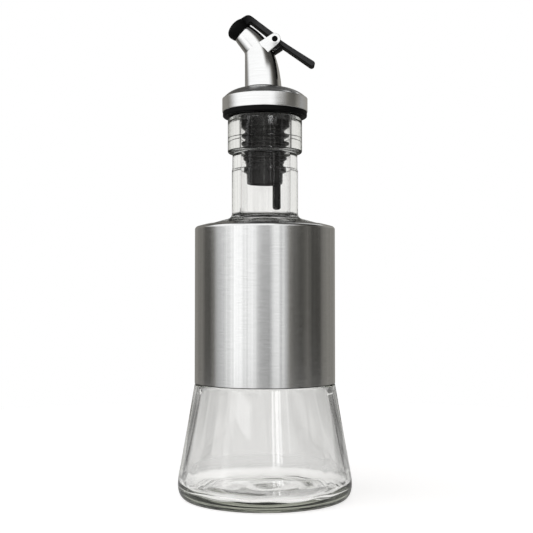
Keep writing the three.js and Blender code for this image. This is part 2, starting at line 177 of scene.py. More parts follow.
floor_inside = bend((37, 8.4), (37.5, 4.3), FLOOR_EDGE, 14)
floor_inside += bend(FLOOR_EDGE, (15, 5.2), (0, 5.4), 40)[1:]
bottle_outline = underside + heel + barrel_outside + neck_outside + waist + lip
bottle_outline += bore + barrel_inside + flare_inside + floor_inside
bottle = turned("glass_bottle", rounded(bottle_outline, closed=False), sides=192, closed=False)

# The blown inside is a little uneven: the floor in long ripples round the middle, its outer corner in short
# waves, the flare and the neck in upright streaks.
FLOOR_BAND = (3.5, 8)
FLOOR_REACH = 37.5
RIPPLE_LENGTH = 34
RIPPLE_WIDTH = 9
RIPPLE_WAVE = 0.34
CORNER_START = 29
CORNER_RAMP = 4
CORNER_LENGTH = 11
CORNER_WIDTH = 3
CORNER_WAVE = 0.5
FLARE_BAND = (9, 49)
FLARE_ROOT = 40
FLARE_LEAN = 0.185
NECK_START = 130
NECK_REACH = 12
STREAK_WIDTH = 5
STREAK_LENGTH = 60
STREAK_WAVE = 0.13
for vertex in bottle.data.vertices:
    x, y, z = vertex.co / MM
    radius = math.hypot(x, y)
    on_floor = FLOOR_BAND[0] < z < FLOOR_BAND[1] and radius < FLOOR_REACH
    in_flare = FLARE_BAND[0] < z < FLARE_BAND[1] and radius < FLARE_ROOT - FLARE_LEAN * z
    in_neck = z > NECK_START and radius < NECK_REACH
    if on_floor:
        place = (x / RIPPLE_LENGTH, y / RIPPLE_LENGTH, radius / RIPPLE_WIDTH)
        vertex.co.z += RIPPLE_WAVE * MM * noise.noise(place)
        place = (x / CORNER_LENGTH, y / CORNER_LENGTH, radius / CORNER_WIDTH)
        corner = CORNER_WAVE * min(1, max(0, (radius - CORNER_START) / CORNER_RAMP))
        vertex.co.z += corner * MM * noise.noise(place)
    elif in_flare or in_neck:
        wave = STREAK_WAVE * noise.noise((x / STREAK_WIDTH, y / STREAK_WIDTH, z / STREAK_LENGTH))
        vertex.co.x *= 1 + wave / radius
        vertex.co.y *= 1 + wave / radius


def grain_group():
    """Fine grain in the object's own space: a mask for its shade, and the height of its relief."""
    group = bpy.data.node_groups.new("surface_grain", "ShaderNodeTree")
    group.interface.new_socket("Stretch", in_out="INPUT", socket_type="NodeSocketVector")
    group.interface.new_socket("Detail", in_out="INPUT", socket_type="NodeSocketFloat")
    group.interface.new_socket("Shade", in_out="OUTPUT", socket_type="NodeSocketFloat")
    group.interface.new_socket("Height", in_out="OUTPUT", socket_type="NodeSocketFloat")
    nodes, links = group.nodes, group.links
    given = nodes.new("NodeGroupInput")
    made = nodes.new("NodeGroupOutput")
    place = nodes.new("ShaderNodeTexCoord")
    scaled = nodes.new("ShaderNodeVectorMath")
    scaled.operation = "MULTIPLY"
    speckle = nodes.new("ShaderNodeTexNoise")
    speckle.inputs["Scale"].default_value = 1
    contrast = nodes.new("ShaderNodeMapRange")
    contrast.inputs["From Min"].default_value = 0.25
    contrast.inputs["From Max"].default_value = 0.75
    links.new(place.outputs["Object"], scaled.inputs[0])
    links.new(given.outputs["Stretch"], scaled.inputs[1])
    links.new(scaled.outputs["Vector"], speckle.inputs["Vector"])
    links.new(given.outputs["Detail"], speckle.inputs["Detail"])
    links.new(speckle.outputs["Fac"], contrast.inputs["Value"])
    links.new(contrast.outputs["Result"], made.inputs["Shade"])
    links.new(speckle.outputs["Fac"], made.inputs["Height"])
    return group


surface_grain = grain_group()


def grained(name, stretch, detail, relief):
    """A new material with the grain's relief on its Principled shader: (material, shader, grain node)."""
    material = bpy.data.materials.new(name)
    material.use_nodes = True
    nodes, links = material.node_tree.nodes, material.node_tree.links
    shader = nodes["Principled BSDF"]
    grain = nodes.new("ShaderNodeGroup")
    grain.node_tree = surface_grain
    grain.inputs["Stretch"].default_value = stretch
    grain.inputs["Detail"].default_value = detail
    bump = nodes.new("ShaderNodeBump")
    bump.inputs["Strength"].default_value = 1
    bump.inputs["Distance"].default_value = relief * MM
    links.new(grain.outputs["Height"], bump.inputs["Height"])
    links.new(bump.outputs["Normal"], shader.inputs["Normal"])
    return material, shader, grain


clear_glass, shader, grain = grained("clear_glass", stretch=(110, 110, 10), detail=1, relief=0.01)
shader.inputs["Base Color"].default_value = (0.995, 0.995, 0.995, 1)
shader.inputs["Roughness"].default_value = 0
shader.inputs["IOR"].default_value = 1.5
shader.inputs["Transmission Weight"].default_value = 1
tint = clear_glass.node_tree.nodes.new("ShaderNodeVolumeAbsorption")
tint.inputs["Color"].default_value = GLASS_TINT
tint.inputs["Density"].default_value = GLASS_DENSITY
outlet = clear_glass.node_tree.nodes["Material Output"]
clear_glass.node_tree.links.new(tint.outputs["Volume"], outlet.inputs["Volume"])
bottle.data.materials.append(clear_glass)
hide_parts("glass_bottle")
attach(bottle, "bottle")

# Sleeve tapes: two bands of adhesive tape round the barrel, on which the sleeve is pressed down to
# the ledge. They sit in the narrow gap between glass and steel, one low and one high. Their black is painted
# shade.
TAPE_INNER = 31.12
TAPE_OUTER = 31.48
TAPE_HEIGHT = 8
TAPE_ROUND = 0.1
TAPE_FEET = {"sleeve_tape_lower": 53.8, "sleeve_tape_upper": 110.8}


def tint_by_grain(material, shader, grain, deep, pale, smooth, rough):
    """The grain's shade drives colour from deep to pale, and roughness from smooth to rough."""
    nodes, links = material.node_tree.nodes, material.node_tree.links
    colour = nodes.new("ShaderNodeMix")
    colour.data_type = "RGBA"
    colour.inputs["A"].default_value = (*deep, 1)
    colour.inputs["B"].default_value = (*pale, 1)
    roughness = nodes.new("ShaderNodeMapRange")
    roughness.inputs["To Min"].default_value = smooth
    roughness.inputs["To Max"].default_value = rough
    links.new(grain.outputs["Shade"], colour.inputs["Factor"])
    links.new(grain.outputs["Shade"], roughness.inputs["Value"])
    links.new(colour.outputs["Result"], shader.inputs["Base Color"])
    links.new(roughness.outputs["Result"], shader.inputs["Roughness"])


# The tapes' black is painted shade, which darkens what the glass shows of them.
black_tape, shader, grain = grained("black_tape", stretch=(900, 900, 900), detail=3, relief=0.02)
deep, pale = (0.012, 0.012, 0.012), (0.018, 0.018, 0.018)
tint_by_grain(black_tape, shader, grain, deep, pale, smooth=0.55, rough=0.75)
for node, foot in TAPE_FEET.items():
    top = foot + TAPE_HEIGHT
    corners = [(TAPE_INNER, foot), (TAPE_OUTER, foot, TAPE_ROUND)]
    corners += [(TAPE_OUTER, top, TAPE_ROUND), (TAPE_INNER, top)]
    tape = turned(node, rounded(corners), sides=160)
    tape.data.materials.append(black_tape)
    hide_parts(node)
    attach(tape, "bottle")

# Steel sleeve: thin stainless tube, brushed round its outside while it turns, with its top edge rolled in
# over the shoulder of the glass. The brushing blurs what it mirrors up and down, and not to the sides. Its
# inside and a band at its foot are painted dark: painted shade inside the tube, and a painted shadow for the
# gap between its foot and the glass ledge.
SLEEVE_RADIUS = 32
SLEEVE_WALL = 0.4
SLEEVE_FOOT = 51.4
SLEEVE_EDGE = 0.12
SLEEVE_MOUTH = (27.6, 123.51)
DARK_TOP = 121.9
FOOT_SHADOW_TOP = 51.75
PAINTED_SHADE_STEEL = (0.03, 0.029, 0.028, 1)
sleeve_outline = [
    (SLEEVE_RADIUS, SLEEVE_FOOT, SLEEVE_EDGE),
    (SLEEVE_RADIUS, 122.33, 1.4),
    (SLEEVE_MOUTH[0], SLEEVE_MOUTH[1], SLEEVE_EDGE),
    (SLEEVE_MOUTH[0] - 0.1, SLEEVE_MOUTH[1] - SLEEVE_WALL, SLEEVE_EDGE),
    (SLEEVE_RADIUS - SLEEVE_WALL, 122.02, 1),
    (SLEEVE_RADIUS - SLEEVE_WALL, SLEEVE_FOOT, SLEEVE_EDGE),
]
sleeve = turned("steel_sleeve", rounded(sleeve_outline), sides=192)
brushed_steel, shader, grain = grained("brushed_steel", stretch=(240, 240, 4300), detail=3, relief=0.0006)
deep, pale = (0.58, 0.58, 0.575), (0.66, 0.66, 0.655)
tint_by_grain(brushed_steel, shader, grain, deep, pale, smooth=0.13, rough=0.17)
shader.inputs["Metallic"].default_value = 1
shader.inputs["Anisotropic"].default_value = 0.85
shader.inputs["Anisotropic Rotation"].default_value = 0.25
nodes, links = brushed_steel.node_tree.nodes, brushed_steel.node_tree.links


def worked_out(operation, first, second, third=0.0):
    """A sum in the nodes at hand: each value is a number, or an output of another node."""
    step = nodes.new("ShaderNodeMath")
    step.operation = operation
    for socket, value in zip(step.inputs, (first, second, third)):
        if isinstance(value, (int, float)):
            socket.default_value = value
        else:
            links.new(value, socket)
    return step.outputs["Value"]


# Painted shade: the steel is darkened inside the tube below its rolled edge, and a painted shadow darkens a
# band at its foot.
place = nodes.new("ShaderNodeTexCoord")
axes = nodes.new("ShaderNodeSeparateXYZ")
links.new(place.outputs["Object"], axes.inputs["Vector"])
squares = worked_out("MULTIPLY", axes.outputs["X"], axes.outputs["X"])
squares = worked_out("MULTIPLY_ADD", axes.outputs["Y"], axes.outputs["Y"], squares)
within = worked_out("LESS_THAN", squares, ((SLEEVE_RADIUS - SLEEVE_WALL / 2) * MM) ** 2)
below = worked_out("LESS_THAN", axes.outputs["Z"], DARK_TOP * MM)
foot_shadow = worked_out("LESS_THAN", axes.outputs["Z"], FOOT_SHADOW_TOP * MM)
dark = worked_out("MAXIMUM", worked_out("MULTIPLY", within, below), foot_shadow)
painted_shade = nodes.new("ShaderNodeMix")
painted_shade.data_type = "RGBA"
links.new(dark, painted_shade.inputs["Factor"])
links.new(shader.inputs["Base Color"].links[0].from_socket, painted_shade.inputs["A"])
painted_shade.inputs["B"].default_value = PAINTED_SHADE_STEEL
links.new(painted_shade.outputs["Result"], shader.inputs["Base Color"])
sleeve.data.materials.append(brushed_steel)
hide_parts("steel_sleeve")
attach(sleeve, "bottle")

# Neck seal: a soft black silicone sleeve with a collar that fills the mouth of the bottle, two wide fins
# that grip the bore and two narrow ones below. It is stretched over the stopper's core.
SEAL_INNER = 8.45
SEAL_FOOT = 151.4
SEAL_TOP = 172.5
COLLAR_OUTER = 11.15
FIN_ROOT_HALF = 1.2
FIN_TIP_HALF = 0.4
FINS = [(153.6, 10.1, 9.0), (157, 10.1, 9.1), (160.1, 11.05, 9.2), (163.8, 11.05, 9.2)]
seal_outline = [(SEAL_INNER, SEAL_FOOT), (9, SEAL_FOOT, 0.3)]
for height, tip, root in FINS:
    seal_outline += [(root, height - FIN_ROOT_HALF, 0.4), (tip, height - FIN_TIP_HALF, 0.3)]
    seal_outline += [(tip, height + FIN_TIP_HALF, 0.3), (root, height + FIN_ROOT_HALF, 0.4)]
seal_outline += [(9.2, 166.4, 0.4), (COLLAR_OUTER, 167.6, 0.4)]
seal_outline += [(COLLAR_OUTER, SEAL_TOP, 0.3), (SEAL_INNER, SEAL_TOP)]
seal = turned("neck_seal", rounded(seal_outline))
black_silicone, shader, grain = grained("black_silicone", stretch=(1400, 1400, 1400), detail=2, relief=0.006)
deep, pale = (0.007, 0.007, 0.0072), (0.012, 0.012, 0.0122)
tint_by_grain(black_silicone, shader, grain, deep, pale, smooth=0.24, rough=0.32)
shader.inputs["Specular IOR Level"].default_value = 0.5
seal.data.materials.append(black_silicone)
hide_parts("neck_seal")
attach(seal, "pourer")

# Stopper core: a moulded black plastic tube, open at the bottom, with a bead that holds the seal on and a
# round boss inside its wall that the vent tube is pressed into. Its top plugs into the cap's liner.
VENT_X = 5.45
CORE_BORE = 7.5
core_outline = [
    (CORE_BORE, 142.1, 0.2),
    (8.1, 142.1, 0.4),
    (8.35, 146.9, 0.5),
    (9.85, 147.5, 0.4),
    (9.85, 149.1, 0.4),
    (8.7, 149.6, 0.3),
    (8.7, 151, 0.1),
    (8.25, 151),
    (8.25, 172.7),
    (8.6, 173.1, 0.1),
    (8.6, 177.8, 0.2),
    (CORE_BORE, 177.8, 0.2),
]
core = turned("stopper_core", rounded(core_outline))
boss = turned("vent_boss", rounded([(2, 142.7, 0.2), (2.9, 143.1, 0.4), (2.9, 151, 0.3), (2, 151)]), 48)
boss.data.transform(Matrix.Translation((VENT_X * MM, 0, 0)))


def settle(piece):
    """Applies a piece's modifiers to its mesh."""
    graph = bpy.context.evaluated_depsgraph_get()
    mesh = bpy.data.meshes.new_from_object(piece.evaluated_get(graph))
    piece.modifiers.clear()
    piece.data = mesh
    mesh.shade_smooth()
    mesh.set_sharp_from_angle(angle=math.radians(SHARP_ANGLE))


def carve(piece, tool, operation="DIFFERENCE"):
    """Joins a solid to a piece or cuts it away, and removes the solid."""
    change = piece.modifiers.new("carve", "BOOLEAN")
    change.operation = operation
    change.solver = "EXACT"
    change.object = tool
    settle(piece)
    bpy.data.objects.remove(tool)


carve(core, boss, "UNION")
black_plastic, shader, grain = grained("black_plastic", stretch=(2600, 2600, 2600), detail=3, relief=0.003)
deep, pale = (0.006, 0.006, 0.0062), (0.01, 0.01, 0.0102)
tint_by_grain(black_plastic, shader, grain, deep, pale, smooth=0.2, rough=0.28)
shader.inputs["Specular IOR Level"].default_value = 0.5
core.data.materials.append(black_plastic)
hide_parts("stopper_core")
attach(core, "pourer")

# Vent tube: a thin black plastic tube with a rounded end, pressed into the core's boss. It lets air in
# behind the oil as the bottle pours.
VENT_BORE = 0.6
VENT_RADIUS = 1.93
VENT_TOP = 170.8
vent_end = VENT_RADIUS - VENT_BORE
vent_outline = arc((VENT_BORE, 131.73), (vent_end, vent_end), -90, 0)
vent_outline += [(VENT_RADIUS, VENT_TOP, 0.1), (VENT_BORE, VENT_TOP, 0.1)]
vent = turned("vent_tube", rounded(vent_outline), sides=48)
vent.data.transform(Matrix.Translation((VENT_X * MM, 0, 0)))
vent.data.materials.append(black_plastic)
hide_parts("vent_tube")
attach(vent, "pourer")

# Cap liner: a matt black plastic ring under the cap. Its flange rests on the glass lip, the plug above it
# fills the cap, and a thin collar comes up through the cap round the foot of the spout.
SPOUT_RADIUS = 8.45
SPOUT_AXIS = -0.75
# The black collar makes the dark ring seen round the foot of the spout.
COLLAR_RADIUS = 9
COLLAR_TOP = 186.6
COLLAR_START = 182.4
COLLAR_REACH = 10
liner_outline = [
    (8.9, 172.9),
    (19.35, 172.9, 0.7),
    (19.35, 175.1, 0.25),
    (18.7, 175.1),
    (18.7, 180.4),
    (14.2, 183.2),
    (COLLAR_RADIUS, 183.2),
    (COLLAR_RADIUS, COLLAR_TOP, 0.3),
    (SPOUT_RADIUS + 0.08, COLLAR_TOP, 0.1),
    (SPOUT_RADIUS + 0.08, 182.6),
    (9.6, 182.6),
    (9.6, 178),
    (8.9, 178),
]
liner = turned("cap_liner", rounded(liner_outline), sides=160)
for vertex in liner.data.vertices:
    if vertex.co.z > COLLAR_START * MM and vertex.co.xy.length < COLLAR_REACH * MM:
        vertex.co.x += SPOUT_AXIS * MM
matt_black, shader, grain = grained("matt_black", stretch=(2600, 2600, 2600), detail=3, relief=0.003)
deep, pale = (0.003, 0.003, 0.003), (0.005, 0.005, 0.005)
tint_by_grain(matt_black, shader, grain, deep, pale, smooth=0.5, rough=0.6)
shader.inputs["Specular IOR Level"].default_value = 0.07
liner.data.materials.append(matt_black)
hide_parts("cap_liner")
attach(liner, "pourer")

# Cap shell: stainless sheet spun over the liner, with a flat band, a soft edge and a shallow dome. The
# hole in the dome is a little off the axis, round the foot of the spout.
CAP_RADIUS = 19.6
CAP_WALL = 0.6
CAP_FOOT = 175.25
DOME_EDGE = (19.2, 181.6)
DOME_TOP = 186.05
DOME_START = 182.1
dome_hole = COLLAR_RADIUS + 0.05
dome_outside = bend(DOME_EDGE, (15.8, 185.45), (dome_hole, DOME_TOP))
dome_inside = bend((dome_hole, DOME_TOP - CAP_WALL), (15.5, 184.85), (18.6, 181.3))
cap_outline = [(CAP_RADIUS - CAP_WALL, CAP_FOOT, 0.2), (CAP_RADIUS, CAP_FOOT, 0.25)]
cap_outline += [(CAP_RADIUS, 181.5, 0.4)]
cap_outline += dome_outside + dome_inside + [(CAP_RADIUS - CAP_WALL, 180.8)]
cap = turned("cap_shell", rounded(cap_outline), sides=192)
for vertex in cap.data.vertices:
    radius = math.hypot(vertex.co.x, vertex.co.y) / MM
    inward = (DOME_EDGE[0] - radius) / (DOME_EDGE[0] - dome_hole)
    vertex.co.x += SPOUT_AXIS * MM * min(1, max(0, inward))
satin_steel, shader, grain = grained("satin_steel", stretch=(90, 90, 2400), detail=2, relief=0.0004)
deep, pale = (0.63, 0.63, 0.625), (0.69, 0.69, 0.685)
tint_by_grain(satin_steel, shader, grain, deep, pale, smooth=0.12, rough=0.17)
shader.inputs["Metallic"].default_value = 1
# The dome has its own steel, rougher and darker than the band's; its darker colour is painted shade that dims
# what the dome mirrors.
dome_shade_steel, shader, grain = grained("dome_shade_steel", stretch=(90, 90, 2400), detail=2, relief=0.0012)
deep, pale = (0.36, 0.36, 0.355), (0.42, 0.42, 0.415)
tint_by_grain(dome_shade_steel, shader, grain, deep, pale, smooth=0.3, rough=0.38)
shader.inputs["Metallic"].default_value = 1
cap.data.materials.append(satin_steel)
cap.data.materials.append(dome_shade_steel)
for face in cap.data.polygons:
    face.material_index = int(face.center.z > DOME_START * MM)
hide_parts("cap_shell")
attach(cap, "pourer")

# Spout tube: stainless tube drawn to a taper and bent towards the mouth, with a soft crease on its front
# and a rolled rim. Its round sections lie across from the front outline to the back outline.
SPOUT_FOOT = 178.3
SPOUT_WALL = 0.8
SPOUT_NARROW = 0.86
FRONT_X = SPOUT_AXIS - SPOUT_RADIUS
CREASE_SHARE = 0.62
CREASE_SOFT = 0.035
SOFT_STEPS = 4
RIM_TURNS = (45, 90, 135)
SECTIONS = 60
front_corners = [Vector((FRONT_X, 186.5)), Vector((FRONT_X, 202.6)), Vector((-13.3, 208.2))]
back_corners = [Vector((7.7, 186.5)), Vector((6.4, 201.35)), Vector((2.8, 209)), Vector((-6.75, 215.3))]


def front_at(share):
    """The front outline, with its crease softened by an average over a short stretch."""
    reach = min(CREASE_SOFT, share, 1 - share)
    total = Vector((0, 0))
    for k in range(-SOFT_STEPS, SOFT_STEPS + 1):
        place = share + reach * k / SOFT_STEPS
        if place < CREASE_SHARE:
            total += front_corners[0].lerp(front_corners[1], place / CREASE_SHARE)
        else:
            total += front_corners[1].lerp(front_corners[2], (place - CREASE_SHARE) / (1 - CREASE_SHARE))
    return total / (2 * SOFT_STEPS + 1)


def back_at(share):
    """The back outline, one even curve from the cap to the mouth."""
    rest = 1 - share
    weights = (rest**3, 3 * rest * rest * share, 3 * rest * share * share, share**3)
    return sum((weight * corner for weight, corner in zip(weights, back_corners)), Vector((0, 0)))


def width_at(share):
    """The spout's width over its depth: round at the cap, a little narrower from the crease on."""
    rise = min(1, share / CREASE_SHARE)
    return 1 - (1 - SPOUT_NARROW) * rise


def spout_ring(build, front, back, narrow, grow, lift=0.0, sides=96):
    """One section of the spout, grown by a distance and lifted off its own plane."""
    middle = (front + back) / 2
    across = (back - front).normalized()
    depth = (back - front).length / 2
    ring = []
    for k in range(sides):
        turn = 2 * math.pi * k / sides
        along = (depth + grow) * math.cos(turn)
        side = (depth * narrow + grow) * math.sin(turn)
        x = middle.x + along * across.x - lift * across.y
        z = middle.y + along * across.y + lift * across.x
        ring.append(build.verts.new((x * MM, side * MM, z * MM)))
    return ring


spout_ends = [(Vector((FRONT_X, SPOUT_FOOT)), Vector((back_corners[0].x, SPOUT_FOOT)), 1)]
for section in range(SECTIONS + 1):
    share = section / SECTIONS
    spout_ends.append((front_at(share), back_at(share), width_at(share)))


def spout_solid(name, grow):
    """The spout as a full solid, for cutting what is welded to it."""
    build = bmesh.new()
    rings = [spout_ring(build, *ends, grow) for ends in spout_ends]
    skin(build, rings, closed=False)
    build.faces.new(rings[0])
    build.faces.new(rings[-1])
    return mesh_object(name, build)


build = bmesh.new()
rings = [spout_ring(build, *ends, 0) for ends in spout_ends]
for turn in RIM_TURNS:
    edge = math.radians(turn)
    grow = -SPOUT_WALL / 2 * (1 - math.cos(edge))
    rings.append(spout_ring(build, *spout_ends[-1], grow, SPOUT_WALL / 2 * math.sin(edge)))
rings += [spout_ring(build, *ends, -SPOUT_WALL) for ends in reversed(spout_ends)]
skin(build, rings, closed=True)
spout = mesh_object("spout_tube", build)
spout.data.materials.append(satin_steel)
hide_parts("spout_tube")
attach(spout, "pourer")

# Hinge ears: two stamped steel tabs, welded to the sides of the spout, that carry the lever's pin between
# their round ends. Their edges are eased, and their roots follow the spout.
PIVOT = Vector((4.5, 208.25))
EAR_INNER = 4.2
EAR_OUTER = 5.1
EAR_END = 2.65
EAR_EASE = 0.22
EAR_SLOPES = (33.5, 42)
EAR_REACHES = (6.9, 7.9)
PIN_RADIUS = 1.3
PIN_PLAY = 0.06
HOLE_REACH = 6
WELD_DEPTH = 0.3


def plate(name, outline, low, high):
    """A flat plate with its outline in X and Z, from one Y to another."""
    build = bmesh.new()
    near = [build.verts.new((x * MM, low * MM, z * MM)) for x, z in outline]
    far = [build.verts.new((x * MM, high * MM, z * MM)) for x, z in outline]
    skin(build, [near, far], closed=False)
    build.faces.new(near)
    build.faces.new(far)
    return mesh_object(name, build)


def cross_rod(name, outline, sides=64):
    """A solid turned about the lever's pin, which lies along Y."""
    piece = turned(name, outline, sides, closed=False)
    about_y = Matrix.Rotation(math.pi / 2, 4, "X")
    piece.data.transform(Matrix.Translation((PIVOT.x * MM, 0, PIVOT.y * MM)) @ about_y)
    return piece


upper, lower = (math.radians(slope) for slope in EAR_SLOPES)
ear_end = arc(PIVOT, (EAR_END, EAR_END), EAR_SLOPES[1] - 90, EAR_SLOPES[0] + 90)
lower_root = Vector(ear_end[0]) - EAR_REACHES[1] * Vector((math.cos(lower), math.sin(lower)))
upper_root = Vector(ear_end[-1]) - EAR_REACHES[0] * Vector((math.cos(upper), math.sin(upper)))
ear_outline = [tuple(lower_root)] + ear_end + [tuple(upper_root)]
hole_radius = PIN_RADIUS + PIN_PLAY
pin_hole = [(0, -HOLE_REACH), (hole_radius, -HOLE_REACH), (hole_radius, HOLE_REACH), (0, HOLE_REACH)]
for node, side in (("hinge_ear_front", -1), ("hinge_ear_rear", 1)):
    faces = sorted((side * EAR_INNER, side * EAR_OUTER))
    ear = plate(node, ear_outline, *faces)
    ease = ear.modifiers.new("eased edges", "BEVEL")
    ease.width = EAR_EASE * MM
    ease.segments = 3
    ease.limit_method = "ANGLE"
    ease.angle_limit = math.radians(50)
    settle(ear)
    carve(ear, cross_rod("pin_hole", pin_hole))
    carve(ear, spout_solid("spout_core", -WELD_DEPTH))
    ear.data.materials.append(satin_steel)
    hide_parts(node)
    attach(ear, "pourer")

# Lever: one moulding of black plastic, a flat strap bent over the spout, with a hub between the ears, a
# rounded thumb end, and a cup over the mouth. Its corners are soft, as they leave the mould. Its flat sides
# are a dark grey; the cup and the edges are painted a deeper black, as painted shade.
LEVER_WIDTH = 6.4
HUB_RADIUS = 2.4
HUB_HALF = 3.9
MOUTH_TILT = math.atan2(7.1, 6.55)
MOUTH = Vector((-10.025, 211.75))
SKIN_STEP = 0.14
SOFT_PASSES = 36
CUP_SHADE_X = (-3, -9)
EDGE_LIE = (0.97, 0.75)
PAINTED_SHADE_BLACK = (0.003, 0.003, 0.003, 1)


def on_mouth(piece):
    """Stands a turned solid square on the spout's mouth."""
    tilt = Matrix.Rotation(-MOUTH_TILT, 4, "Y")
    piece.data.transform(Matrix.Translation((MOUTH.x * MM, 0, MOUTH.y * MM)) @ tilt)
    return piece


strap = [(-11.1, 8.35), (-4, 2.8), (4.1, -3.45)] + arc((17.1, -10.85), (1.35, 1.35), -122, 57)
strap += bend((17.84, -9.72), (8.4, -3.9), (2.8, 0)) + [(-0.65, 3.4)]
strap += bend((-10.4, 10.85), (-11.9, 12), (-13.6, 11.1)) + [(-16.6, 9.15), (-16.6, 6.5), (-13, 6.5)]
lever = plate("lever", [(PIVOT.x + x, PIVOT.y + z) for x, z in strap], -LEVER_WIDTH / 2, LEVER_WIDTH / 2)
hub = cross_rod("hub", [(0, -HUB_HALF), (HUB_RADIUS, -HUB_HALF), (HUB_RADIUS, HUB_HALF), (0, HUB_HALF)])
cup_outline = [(0, 1.7), (4.4, 1.7), (4.4, 0.4)] + bend((4.75, 0.4), (5.3, 1.7), (5.45, 3.3))
cup_outline += bend((5.45, 3.3), (5.25, 5.8), (1.6, 6.35)) + [(0, 6.42)]
cup = on_mouth(turned("cup", cup_outline, 96, closed=False))
lever_parts = [lever, hub, cup]
build = bmesh.new()
for part in lever_parts:
    build.from_mesh(part.data)
for part in lever_parts:
    bpy.data.objects.remove(part)
lever = mesh_object("lever", build)
soften = lever.modifiers.new("one skin", "REMESH")
soften.mode = "VOXEL"
soften.voxel_size = SKIN_STEP * MM
ease = lever.modifiers.new("soft corners", "SMOOTH")
ease.factor = 0.5
ease.iterations = SOFT_PASSES
settle(lever)
carve(lever, cross_rod("pin_bore", pin_hole))
lever_black, shader, grain = grained("lever_black", stretch=(1500, 1500, 1500), detail=3, relief=0.004)
deep, pale = (0.03, 0.03, 0.0305), (0.046, 0.046, 0.047)
tint_by_grain(lever_black, shader, grain, deep, pale, smooth=0.5, rough=0.6)
shader.inputs["Specular IOR Level"].default_value = 0.06
nodes, links = lever_black.node_tree.nodes, lever_black.node_tree.links
# Painted shade: the cup end and the edges of the flat sides go from dark grey to deep black.
place = nodes.new("ShaderNodeTexCoord")
axes = nodes.new("ShaderNodeSeparateXYZ")
links.new(place.outputs["Object"], axes.inputs["Vector"])
cup_shade = nodes.new("ShaderNodeMapRange")
cup_shade.inputs["From Min"].default_value = CUP_SHADE_X[0] * MM
cup_shade.inputs["From Max"].default_value = CUP_SHADE_X[1] * MM
links.new(axes.outputs["X"], cup_shade.inputs["Value"])
lie = nodes.new("ShaderNodeSeparateXYZ")
links.new(place.outputs["Normal"], lie.inputs["Vector"])
edge = nodes.new("ShaderNodeMapRange")
edge.inputs["From Min"].default_value = EDGE_LIE[0]
edge.inputs["From Max"].default_value = EDGE_LIE[1]
links.new(worked_out("ABSOLUTE", lie.outputs["Y"], 0), edge.inputs["Value"])
painted_shade_share = worked_out("MAXIMUM", cup_shade.outputs["Result"], edge.outputs["Result"])
shaded_colour = nodes.new("ShaderNodeMix")
shaded_colour.data_type = "RGBA"
links.new(painted_shade_share, shaded_colour.inputs["Factor"])
links.new(shader.inputs["Base Color"].links[0].from_socket, shaded_colour.inputs["A"])
shaded_colour.inputs["B"].default_value = PAINTED_SHADE_BLACK
links.new(shaded_colour.outputs["Result"], shader.inputs["Base Color"])
lever.data.materials.append(lever_black)
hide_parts("lever")
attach(lever, "lever")

# Mouth seal: a soft silicone disc held in the cup. The return leaf presses it on the spout's rim, so that
# the mouth stays shut while nobody pushes the thumb arm.
seal_disc = [(0, 0.42), (3.95, 0.42, 0.15), (4.15, 0.62, 0.1), (4.15, 1.5, 0.1), (0, 1.5)]
disc = on_mouth(turned("mouth_seal", rounded(seal_disc, closed=False), 64, closed=False))
disc.data.materials.append(black_silicone)
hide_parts("mouth_seal")
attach(disc, "lever")

# Pivot pin: a black pin through both ears and the lever's hub. It has a rounded rim and a dimple in each
# end, and turns with the lever.
PIN_HALF = 5.3
pin_end = [
    (PIN_RADIUS, PIN_HALF, 0.25),
    (0.72, PIN_HALF, 0.12),
    (0.5, PIN_HALF - 0.35, 0.1),
    (0, PIN_HALF - 0.4),
]
pin_foot = [(r, -y, *rest) for r, y, *rest in reversed(pin_end)]
pin = cross_rod("pivot_pin", rounded(pin_foot + pin_end, closed=False))
pin.data.materials.append(matt_black)
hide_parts("pivot_pin")
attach(pin, "lever")

# Return leaf: a springy black tongue from the underside of the thumb arm to the back of the spout. Here it
# is one straight plate, fixed where it stands, and it does not bend.
LEAF_WIDTH = 5
LEAF_HALF = 0.6
STATIONS = 9
leaf_root = Vector((7.9, 205.1))
leaf_foot = Vector((4.3, 202.75))
leaf_along = (leaf_root - leaf_foot).normalized()
leaf_across = Vector((-leaf_along.y, leaf_along.x)) * LEAF_HALF
over = [leaf_foot.lerp(leaf_root, i / (STATIONS - 1)) + leaf_across for i in range(STATIONS)]
under = [leaf_foot.lerp(leaf_root, i / (STATIONS - 1)) - leaf_across for i in range(STATIONS)]
leaf = plate("return_spring", [tuple(p) for p in under + over[::-1]], -LEAF_WIDTH / 2, LEAF_WIDTH / 2)
leaf.data.materials.append(matt_black)
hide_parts("return_spring")
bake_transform(leaf)

# Floor: a pale round table top under the bottle. Part of its white is its own glow: most of it for the eye,
# some through glass, and little in steel. Seen through glass it fades into the backdrop before its edge.
FLOOR_RADIUS = 400
FLOOR_DROP = 0.2
FLOOR_UNDER = 3
FLOOR_PALE = 0.6
EYE_GLOW = 0.72
GLASS_GLOW = (0.78, 0.42)
GLASS_REACH = (45, 95)
STEEL_GLOW = 0.1
FADE = (60, 170)
CREAM = (1, 0.99, 0.985)
floor_outline = [(0, -FLOOR_DROP), (FLOOR_RADIUS, -FLOOR_DROP)]
floor_outline += [(FLOOR_RADIUS, -FLOOR_UNDER), (0, -FLOOR_UNDER)]
floor = turned("floor", floor_outline, sides=96, closed=False)
pale_floor = bpy.data.materials.new("pale_floor")
pale_floor.use_nodes = True
nodes, links = pale_floor.node_tree.nodes, pale_floor.node_tree.links
nodes.remove(nodes["Principled BSDF"])
path = nodes.new("ShaderNodeLightPath")
matt = nodes.new("ShaderNodeBsdfDiffuse")
matt.inputs["Color"].default_value = (FLOOR_PALE, FLOOR_PALE, FLOOR_PALE, 1)
glow = nodes.new("ShaderNodeEmission")
glow.inputs["Color"].default_value = (*CREAM, 1)
place = nodes.new("ShaderNodeTexCoord")
distance = nodes.new("ShaderNodeVectorMath")
